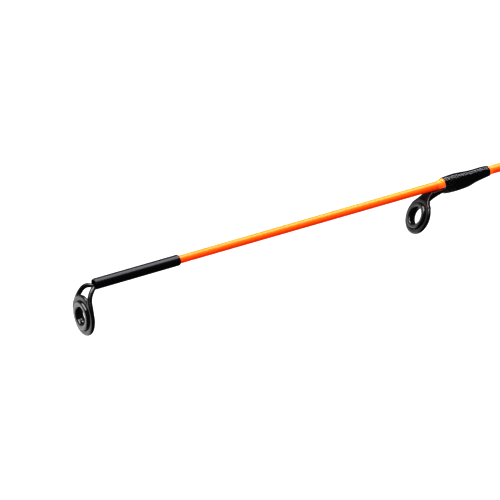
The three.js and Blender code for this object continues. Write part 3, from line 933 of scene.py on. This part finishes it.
def keyhole(guide):
    """The flat of the stamping: shoulders that draw in from the ring to the neck."""
    ring, radius = guide.ring, guide.radius
    lean = math.cos(ring.tilt)
    clearance = blank_radius(guide.x) + 0.06
    top = (guide.drop - clearance) / lean - 0.02
    neck = guide.neck_half
    shoulder = math.radians(38)
    start = Vector((radius * math.cos(shoulder), radius * math.sin(shoulder)))
    bend = Vector((neck * 1.4, radius * 0.95))
    side = bent(start, bend, Vector((neck, top)), 10)
    inner = ring.seat + 0.1
    floor = [(-inner * 0.72, inner * 0.72), (inner * 0.72, inner * 0.72)]
    outline = floor + [tuple(p) for p in side] + [(-p.x, p.y) for p in reversed(side)]
    bm = placed(plate(outline, guide.gauge, upright=False), ring.place)
    start = radius * 0.72 * lean - guide.drop
    for vert in bm.verts:
        share = max(0, (vert.co.z - start) / (-clearance - start))
        vert.co.x += guide.bend * share**2
    return bm


def foot(guide, direction, end):
    """The foot that lies along the blank, its neck bent down to the top of the ring's plate."""
    lean = math.tan(guide.ring.tilt)
    start = guide.x + (guide.drop - blank_radius(guide.x)) * lean
    if direction > 0:
        start += guide.bend
    reach = abs(end - start)
    steps = 12
    top = []
    under = []
    for step in range(steps + 1):
        t = step / steps
        x = start - direction * 0.45 * guide.scale * (1 - t) + (end - start) * t
        z = -blank_radius(x) - GLUE
        top.append((x, z))
        under.append((x, z - guide.foot_thickness * (1 - 0.4 * t)))
    bm = plate(top + under[::-1], 2 * guide.neck_half)
    across = [edge for edge in bm.edges if abs(edge.verts[0].co.y - edge.verts[1].co.y) > 0.1]
    bmesh.ops.subdivide_edges(bm, edges=across, cuts=3)
    for vert in bm.verts:
        share = min(1, max(0, abs(vert.co.x - start) / reach))
        width = guide.neck_half + (guide.foot_half - guide.neck_half) * min(1, share * 2.2)
        width *= 1 - 0.62 * max(0, share - 0.5) ** 1.5 * 2.0
        vert.co.y *= width / guide.neck_half
    return bm


def heel(guide):
    """The web that fills the inside of the bend between the plate and the foot."""
    lean = math.tan(guide.ring.tilt)
    under = blank_radius(guide.x) + 0.08
    size = guide.scale**0.8
    corner = Vector((guide.x + (guide.drop - under) * lean + guide.bend, -under))
    low = corner + Vector((-1.32, -2.0)) * size
    middle = corner + Vector((-0.65, -1.14)) * size
    far = corner + Vector((2.33, -0.57)) * size
    arc = bent(low, middle, far, 8)
    outline = [corner, *arc, far + Vector((0, 0.5)) * size]
    return plate(outline, 1.7 * guide.neck_half)


def braces(guide):
    """The two struts that carry the largest ring to its front foot."""
    under = blank_radius(guide.x) + GLUE + guide.foot_thickness / 2
    tilt, radius = guide.ring.tilt, guide.radius
    joint = guide.x - 2.6 * guide.scale
    up = radius * 0.35
    parts = []
    for side in (-1, 1):
        route = [
            (guide.x + up * math.sin(tilt) * 0.6, side * radius * 0.9, -guide.drop + up * 0.55),
            (guide.x + 0.15, side * radius * 0.78, -guide.drop + radius * 0.7),
            (guide.x - 2.0, side * 2.9, -under - 1.9),
            (joint - 0.4, side * 0.95, -under - 0.35),
            (joint - 3.0, side * 0.4, -under),
        ]
        parts.append(rod_along(route, 0.52, [1.1, 1.05, 1.0, 0.95, 0.7]))
    return parts


class ROD_OT_guides(bpy.types.Operator):
    """Make the stampings and ring inserts of the four running guides"""

    bl_idname = "ice_rod.guides"
    bl_label = "Running Guides"

    def execute(self, context):
        for name in GUIDE_TILTS:
            guide = Guide(name)
            parts = [
                holder(guide.ring, guide.radius, guide.gauge),
                keyhole(guide),
                foot(guide, 1, guide.foot_end),
                heel(guide),
            ]
            if name == "guide_4":
                parts += braces(guide)
                parts.append(foot(guide, -1, guide.front_end))
            skin = bored(fused(parts, 0.085 * guide.scale**0.8), guide.ring)
            finished(skin, name + "_stamping", name + "_frame", finish("gunmetal"), crease=50)
            finished(liner(guide.ring), name + "_liner", name + "_ring", finish("ceramic"))
        return {"FINISHED"}


# Thread wraps and their clear coats


# The finished wrap from its ring end to its far end: (share of its length, skin over the blank, bulge
# below the blank over the guide's foot), in millimetres on the smallest guide.
WRAP_FORM = [
    (0.0, 0.36, 0.7),
    (0.1, 0.44, 0.76),
    (0.27, 0.5, 0.74),
    (0.42, 0.41, 0.78),
    (0.56, 0.29, 0.76),
    (0.69, 0.24, 0.46),
    (0.8, 0.27, 0.22),
    (0.92, 0.24, 0.06),
    (1.0, 0.18, 0.02),
]


def bulged(bm, bulge_at):
    """Pushes the underside down by the bulge at each x, most at the bottom."""
    for vert in bm.verts:
        around = math.hypot(vert.co.y, vert.co.z)
        if vert.co.z < 0 and around > 0:
            vert.co.z += bulge_at(vert.co.x) * vert.co.z / around
    return bm


class Wrap:
    """One wrap: where its thread runs, and how thick it is at each x."""

    def __init__(self, start, end, scale, form):
        self.start, self.end = start, end
        self.low, self.high = min(start, end), max(start, end)
        grow = math.sqrt(scale)
        reach = end - start
        skin = sorted((start + share * reach, skin * grow) for share, skin, _ in form)
        bulge = sorted((start + share * reach, bulge * grow) for share, _, bulge in form)
        self.skin = flowing(skin, 6)
        self.bulge = flowing(bulge, 6)

    def coat_radius(self, x):
        return blank_radius(x) + along(self.skin, x)

    def bulge_at(self, x):
        fade = 1 - max(0, self.low - x, x - self.high) / sizes().coat_fringe
        return along(self.bulge, x) * max(0, fade) ** 2

    def thread_radius(self, x):
        return self.coat_radius(x) - min(sizes().coat_thickness, along(self.skin, x) * 0.45)


# One turn of thread: (share of the pitch, depth below the wrap's surface in millimetres).
BEAD = ((0.08, 0.045), (0.3, 0.008), (0.5, 0.0), (0.7, 0.008), (0.92, 0.045))


def winding(wrap):
    """Thread laid turn beside turn, each turn a small round bead."""
    turns = round((wrap.high - wrap.low) / sizes().thread_pitch)
    pitch = (wrap.high - wrap.low) / turns
    outer = []
    for turn in range(turns):
        x = wrap.low + turn * pitch
        for share, depth in BEAD:
            outer.append((x + share * pitch, wrap.thread_radius(x) - depth))
    inner = [(x, blank_radius(x) + 0.03) for x in (wrap.high, (wrap.low + wrap.high) / 2, wrap.low)]
    return bulged(turned(outer + inner, 40, closed=True), wrap.bulge_at)


def coat(wrap, fringes):
    """Clear epoxy over the thread, running out thin on the blank at both ends."""
    low_fringe, high_fringe = fringes
    sunk = 0.05  # how far the coat reaches into the thread and the blank
    edge = 0.03  # its thickness at its two ends
    steps = 44
    outer, inner = [], []
    for step in range(steps + 1):
        x = wrap.low + (wrap.high - wrap.low) * step / steps
        outer.append((x, wrap.coat_radius(x)))
        inner.append((x, wrap.thread_radius(x) - sunk))
    for share in (0.75, 0.5, 0.25, 0.08, 0):
        run_out = share**1.4
        x = wrap.low - low_fringe * (1 - share)
        thick = (wrap.coat_radius(wrap.low) - blank_radius(wrap.low)) * run_out
        outer.insert(0, (x, blank_radius(x) + max(edge, thick)))
        x = wrap.high + high_fringe * (1 - share)
        thick = (wrap.coat_radius(wrap.high) - blank_radius(wrap.high)) * run_out
        outer.append((x, blank_radius(x) + max(edge, thick)))
    ends = [(wrap.low - low_fringe, wrap.low - 0.03), (wrap.high + 0.03, wrap.high + high_fringe)]
    before = [(x, blank_radius(x) - sunk) for x in ends[0]]
    after = [(x, blank_radius(x) - sunk) for x in ends[1]]
    profile = outer + list(reversed(before + inner + after))
    return bulged(turned(profile, 56, closed=True), wrap.bulge_at)


def add_wrap(name, node, wrap, fringes):
    finished(winding(wrap), name + "_winding", node + "_thread", finish("thread"), crease=70)
    skin = finished(coat(wrap, fringes), name + "_epoxy", node + "_coat", finish("epoxy"), crease=60)
    skin.visible_shadow = False


class ROD_OT_wraps(bpy.types.Operator):
    """Wind the thread over the guides' feet and coat it with clear epoxy"""

    bl_idname = "ice_rod.wraps"
    bl_label = "Thread Wraps"

    def execute(self, context):
        fringe = sizes().coat_fringe
        for node in ("guide_1", "guide_2", "guide_3", "guide_4_rear", "guide_4_front"):
            guide = Guide(node[:7])
            low, high = span(node + "_thread")
            start, end = (high, low) if node.endswith("front") else (low, high)
            wrap = Wrap(start, end, guide.scale, WRAP_FORM)
            near, far = fringe * 0.95, fringe * 0.5
            fringes = (far, near) if node.endswith("front") else (near, far)
            add_wrap(node, node, wrap, fringes)
        return {"FINISHED"}


class ROD_OT_hook_keeper(bpy.types.Operator):
    """Bend the hook keeper's wire and wrap its feet"""

    bl_idname = "ice_rod.hook_keeper"
    bl_label = "Hook Keeper"

    def execute(self, context):
        low, high = cad_box("hook_keeper")
        wire = 0.41
        spread = high.y - wire - 0.05
        x = low.x + 1.81
        foot_end = high.x - 0.05
        on_blank = -(blank_radius(x + 4) + GLUE + wire)
        half = [
            (foot_end, spread * 0.98, -(blank_radius(foot_end) + GLUE + wire)),
            (x + 4, spread, on_blank),
            (x + 1.5, spread, on_blank - 0.35),
            (x - 0.85, spread * 0.95, on_blank - 1.65),
        ]
        lowest = [(x - 1.36, 0, low.z + wire + 0.06)]
        route = half + lowest + [(px, -py, pz) for px, py, pz in reversed(half)]
        loop = rod_along(route, wire)
        finished(loop, "keeper_wire", "hook_keeper", finish("gunmetal"), crease=60)
        start, end = span("hook_keeper_thread")
        share = (foot_end - start) / (end - start)
        form = [
            (0, 0.2, 0.75),
            (0.06, 0.34, 0.9),
            (share * 0.85, 0.34, 0.88),
            (min(share + 0.14, 0.9), 0.34, 0.1),
            (0.95, 0.34, 0),
            (1, 0.3, 0),
        ]
        add_wrap("keeper", "hook_keeper", Wrap(start, end, 1, form), (0.68, 0.03))
        return {"FINISHED"}


# The reel seat


def screw(x0, x1, root, crest, pitch, steps=48):
    """A screw with flat roots and crests: a turned bar whose rows are sheared along the helix."""
    rows_per_turn = 8
    shape = [0, 0, 0.25, 0.85, 1, 1, 0.85, 0.25]
    row_gap = pitch / rows_per_turn
    rows = math.ceil(((x1 - x0) / pitch + 1) * rows_per_turn)
    bm = turned([(x0 + row * row_gap, root) for row in range(rows + 1)], steps, merge=False)
    bm.verts.ensure_lookup_table()
    for i, vert in enumerate(bm.verts):
        column, row = divmod(i, rows + 1)
        turn = column / steps
        x = x0 + (row - rows_per_turn + turn * rows_per_turn) * row_gap
        place = min(max(x, x0), x1)
        fade = min(1, max(0, min(x - x0, x1 - x) / (pitch * 0.5)))
        radius = root + (crest - root) * shape[row % rows_per_turn] * fade
        spin = turn * FULL_TURN
        vert.co = (place, -radius * math.sin(spin), radius * math.cos(spin))
    bmesh.ops.remove_doubles(bm, verts=bm.verts, dist=1e-3)
    bmesh.ops.holes_fill(bm, edges=[e for e in bm.edges if e.is_boundary], sides=0)
    bmesh.ops.recalc_face_normals(bm, faces=bm.faces)
    return bm


LOBE_WIDTH = 15.7
POCKET_WIDTH = 13.6


def behind_mouth(open_x, facing, outline):
    """(distance behind a hood's mouth, z) points as (x, z)."""
    return [(open_x + facing * distance, z) for distance, z in outline]


def hood_lobe(open_x, facing, depth, top):
    """The bulge under a hood that takes the reel's foot, sloping back to the collar."""
    slope = bent(Vector((4, -depth)), Vector((10, -depth)), Vector((15.5, -top + 0.6)), 8)
    outline = [(0.02, -2), (0.02, -depth), *slope, (15.5, -2)]
    bm = plate(behind_mouth(open_x, facing, outline), LOBE_WIDTH)
    round_over = [e for e in bm.edges if abs(e.verts[0].co.y - e.verts[1].co.y) < 1e-6]
    round_over = [e for e in round_over if min(v.co.z for v in e.verts) < -top * 0.6]
    bmesh.ops.bevel(
        bm, geom=round_over, offset=1.5, segments=4, affect="EDGES", profile=0.5, material=-1
    )
    return sealed(bm)


def hood_skin(node, facing, bore, extra_cutters=()):
    """A hood: a collar round the barrel, with a hollow lobe under it. Facing is 1 if it opens towards -X."""
    low, high = cad_box(node)
    open_x = low.x if facing > 0 else high.x
    back_x = high.x if facing > 0 else low.x
    radius = high.z
    depth = -low.z
    collar = [(open_x, 0, 0), (open_x, radius, 0.5), (back_x, radius, 0.8), (back_x, 0, 0)]
    parts = [turned(rounded(collar, 5), 64), hood_lobe(open_x, facing, depth, radius)]
    skin = fused(parts, 0.33, relax=4)
    bulge = depth - 2.0
    pocket = [(-2, -4), (-2, -bulge), (1, -bulge), (9.5, -bulge + 2.5), (9.5, -4)]
    hollow = plate(behind_mouth(open_x, facing, pocket), POCKET_WIDTH)
    return carved(skin, [hollow, bar(low.x - 5, high.x + 5, bore), *extra_cutters])


class ROD_OT_reel_seat(bpy.types.Operator):
    """Make the threaded barrel, the fixed hood and the arbors inside"""

    bl_idname = "ice_rod.reel_seat"
    bl_label = "Reel Seat"

    def execute(self, context):
        start, end = span("reel_seat_barrel")
        stations = outer_profile("reel_seat_barrel")
        crest = cad_box("reel_seat_barrel")[1].z
        plain = stations[-1][1]
        mounts = {mount["name"]: mount for mount in frame["record"]["mounts"]}
        flat = -mounts["reel_foot_seat"]["pos_m"][2] / MM
        flat_to = max(p.x for p in cad_points("reel_seat_barrel") if abs(p.z + flat) < 0.01)
        key = cad_box("reel_seat_barrel")[1].y
        bore = bore_radius("reel_seat_barrel")
        thread_end = cad_box("sliding_hood")[1].x + 2.4
        body = [(thread_end, 0, 0), (thread_end, plain, 0.3), (end, plain, 0.3), (end, 0, 0)]
        threaded = screw(start, thread_end + 0.4, plain - 0.1, crest, sizes().seat_pitch)
        whole = combined(threaded, [turned(rounded(body), 64)])
        flat_from = cad_box("sliding_hood")[0].x + 2
        cutters = [
            block((flat_from, -20, -20), (flat_to, 20, -flat)),
            block((start - 1, -20, -20), (thread_end + 1, -key, 20)),
            block((start - 1, key, -20), (thread_end + 1, 20, 20)),
            bar(start - 2, end + 2, bore),
        ]
        barrel = patched(carved(whole, cutters))
        finished(barrel, "seat_barrel", "reel_seat_barrel", finish("plastic"), crease=30)
        hood = hood_skin("fixed_hood", 1, plain + GLUE)
        finished(hood, "rear_hood", "fixed_hood", finish("plastic"), crease=32)
        for name in ("front_arbor", "rear_arbor"):
            finished(sleeve(name, 0.4, 48), name + "_cork", name, finish("cork"))
        return {"FINISHED"}


class ROD_OT_hood_and_nut(bpy.types.Operator):
    """Make the sliding hood and the fluted nut that drives it"""

    bl_idname = "ice_rod.hood_and_nut"
    bl_label = "Sliding Hood and Nut"

    def execute(self, context):
        self.add_hood()
        self.add_nut()
        return {"FINISHED"}

    def add_hood(self):
        low, high = cad_box("sliding_hood")
        neck_end = cad_box("lock_nut")[1].x
        socket = [
            (low.x - 1, 0),
            (low.x - 1, 10.3),
            (neck_end - 1.2, 10.3),
            (neck_end - 1.2, 10.6),
            (neck_end + 0.2, 10.6),
            (neck_end + 0.2, 0),
        ]
        skin = hood_skin("sliding_hood", -1, 9.45, [turned(socket, 64)])
        finished(skin, "front_hood", "sliding_hood", finish("plastic"), crease=32)

    def add_nut(self):
        low, high = cad_box("lock_nut")
        start, neck_end, radius = low.x, high.x, high.z
        shoulder = start + 12.6
        bore = bore_radius("lock_nut")
        corners = [
            (start, bore, 0.2),
            (start, radius - 0.9, 0.25),
            (start + 0.9, radius, 0.5),
            (shoulder - 0.9, radius, 0.5),
            (shoulder, radius - 0.9, 0.25),
            (shoulder, 10.1, 0),
            (neck_end - 1, 10.1, 0),
            (neck_end - 1, 10.4, 0.1),
            (neck_end, 10.4, 0.15),
            (neck_end, bore, 0),
        ]
        profile = rounded(corners, 3)
        body = []
        for (x0, r0), (x1, r1) in zip(profile, profile[1:]):
            body.append((x0, r0))
            if x1 - x0 > 6:
                body += [(x0 + (x1 - x0) * step / 16, r0) for step in range(1, 16)]
        body.append(profile[-1])
        nut = turned(body, sizes().flutes * 16, closed=True)
        margin, run_out, deepest = 1.7, 1.2, 0.75
        first, last = start + margin, shoulder - margin
        for vert in nut.verts:
            out = math.hypot(vert.co.y, vert.co.z)
            if out < radius - 0.05:
                continue
            wave = 0.5 + 0.5 * math.cos(math.atan2(vert.co.y, vert.co.z) * sizes().flutes)
            inside = min(vert.co.x - first, last - vert.co.x)
            fade = min(1, max(0, inside / run_out))
            depth = deepest * wave**1.6 * math.sin(fade * math.pi / 2)
            vert.co.y *= (out - depth) / out
            vert.co.z *= (out - depth) / out
        finished(nut, "fluted_nut", "lock_nut", finish("plastic"), crease=35)


# Grips and ends


class ROD_OT_grips(bpy.types.Operator):
    """Turn the foam grips, the trim rings, the winding check and the butt cap"""

    bl_idname = "ice_rod.grips"
    bl_label = "Grips and Ends"

    def execute(self, context):
        self.add_grip("foregrip", "front_grip")
        self.add_grip("rear_grip", "back_grip", tenon=True)
        for node in ("foregrip_trim_ring", "rear_trim_ring"):
            finished(sleeve(node, 0.35, 96), node + "_anodised", node, finish("trim"))
        self.add_check()
        self.add_cap()
        return {"FINISHED"}

    def add_grip(self, node, name, tenon=False):
        """A foam grip, its edges rounded. A tenon is the narrower end that goes into the butt cap."""
        stations = outer_profile(node)
        bore = bore_radius(node)
        start, end = stations[0][0], stations[-1][0]
        shaped = flowing(stations[1:-1], 6)
        corners = [(start, bore, 0), (start, shaped[0][1], 0.6)] + [(x, r, 0) for x, r in shaped[1:]]
        if tenon:
            corners += [(shaped[-1][0], stations[-1][1], 0), (end, stations[-1][1], 0)]
        else:
            corners.append((end, shaped[-1][1], 0.6))
        corners.append((end, bore, 0))
        finished(turned(rounded(corners), 72, closed=True), name, node, finish("foam"))

    def add_check(self):
        low, high = span("winding_check")
        outer = cad_box("winding_check")[1].z
        bore = bore_radius("winding_check")
        corners = [
            (low, bore, 0.1),
            (low, outer - 2.3, 0.25),
            (high - 1.6, outer, 0.7),
            (high, outer, 0.25),
            (high, bore, 0),
        ]
        finished(turned(rounded(corners), 72, closed=True), "check_ring", "winding_check", finish("rubber"))

    def add_cap(self):
        low, high = span("butt_cap")
        outer = cad_box("butt_cap")[1].z
        floor = cad_box("rear_grip")[1].x + 0.3
        inner = outer_profile("rear_grip")[-1][1] + GLUE
        corners = [
            (floor, 0, 0),
            (floor, inner, 0),
            (low, inner, 0),
            (low, outer - 0.05, 0.35),
            (low + 4, outer - 0.05, 0),
            (low + 4.4, outer, 0),
            (high, outer, 2.2),
            (high, 0, 0),
        ]
        finished(turned(rounded(corners, 8), 72), "end_cap", "butt_cap", finish("rubber"))


# The panel and the run


class VIEW3D_PT_ice_rod(bpy.types.Panel):
    """Lists the rod's sizes, colours and pieces"""

    bl_label = "Ice Rod"
    bl_space_type = "VIEW_3D"
    bl_region_type = "UI"
    bl_category = "Ice Rod"

    def draw(self, context):
        for group in (context.scene.rod_sizes, context.scene.rod_colours, context.scene.rod_studio):
            box = self.layout.box()
            for name in group.__annotations__:
                box.prop(group, name)
        for operator in OPERATORS:
            self.layout.operator(operator.bl_idname)


OPERATORS = (
    STUDIO_OT_rod_stage,
    ROD_OT_blank,
    ROD_OT_tip_top,
    ROD_OT_guides,
    ROD_OT_wraps,
    ROD_OT_hook_keeper,
    ROD_OT_reel_seat,
    ROD_OT_hood_and_nut,
    ROD_OT_grips,
)
GROUPS = {"rod_sizes": RodSizes, "rod_colours": RodColours, "rod_studio": StudioSettings}


def register():
    for cls in (*GROUPS.values(), *OPERATORS, VIEW3D_PT_ice_rod):
        bpy.utils.register_class(cls)
    for name, group in GROUPS.items():
        setattr(bpy.types.Scene, name, PointerProperty(type=group))


def unregister():
    for name in GROUPS:
        delattr(bpy.types.Scene, name)
    for cls in reversed((*GROUPS.values(), *OPERATORS, VIEW3D_PT_ice_rod)):
        bpy.utils.unregister_class(cls)


def main():
    register()
    for operator in OPERATORS:
        category, name = operator.bl_idname.split(".")
        getattr(getattr(bpy.ops, category), name)()


if __name__ == "__main__":
    main()
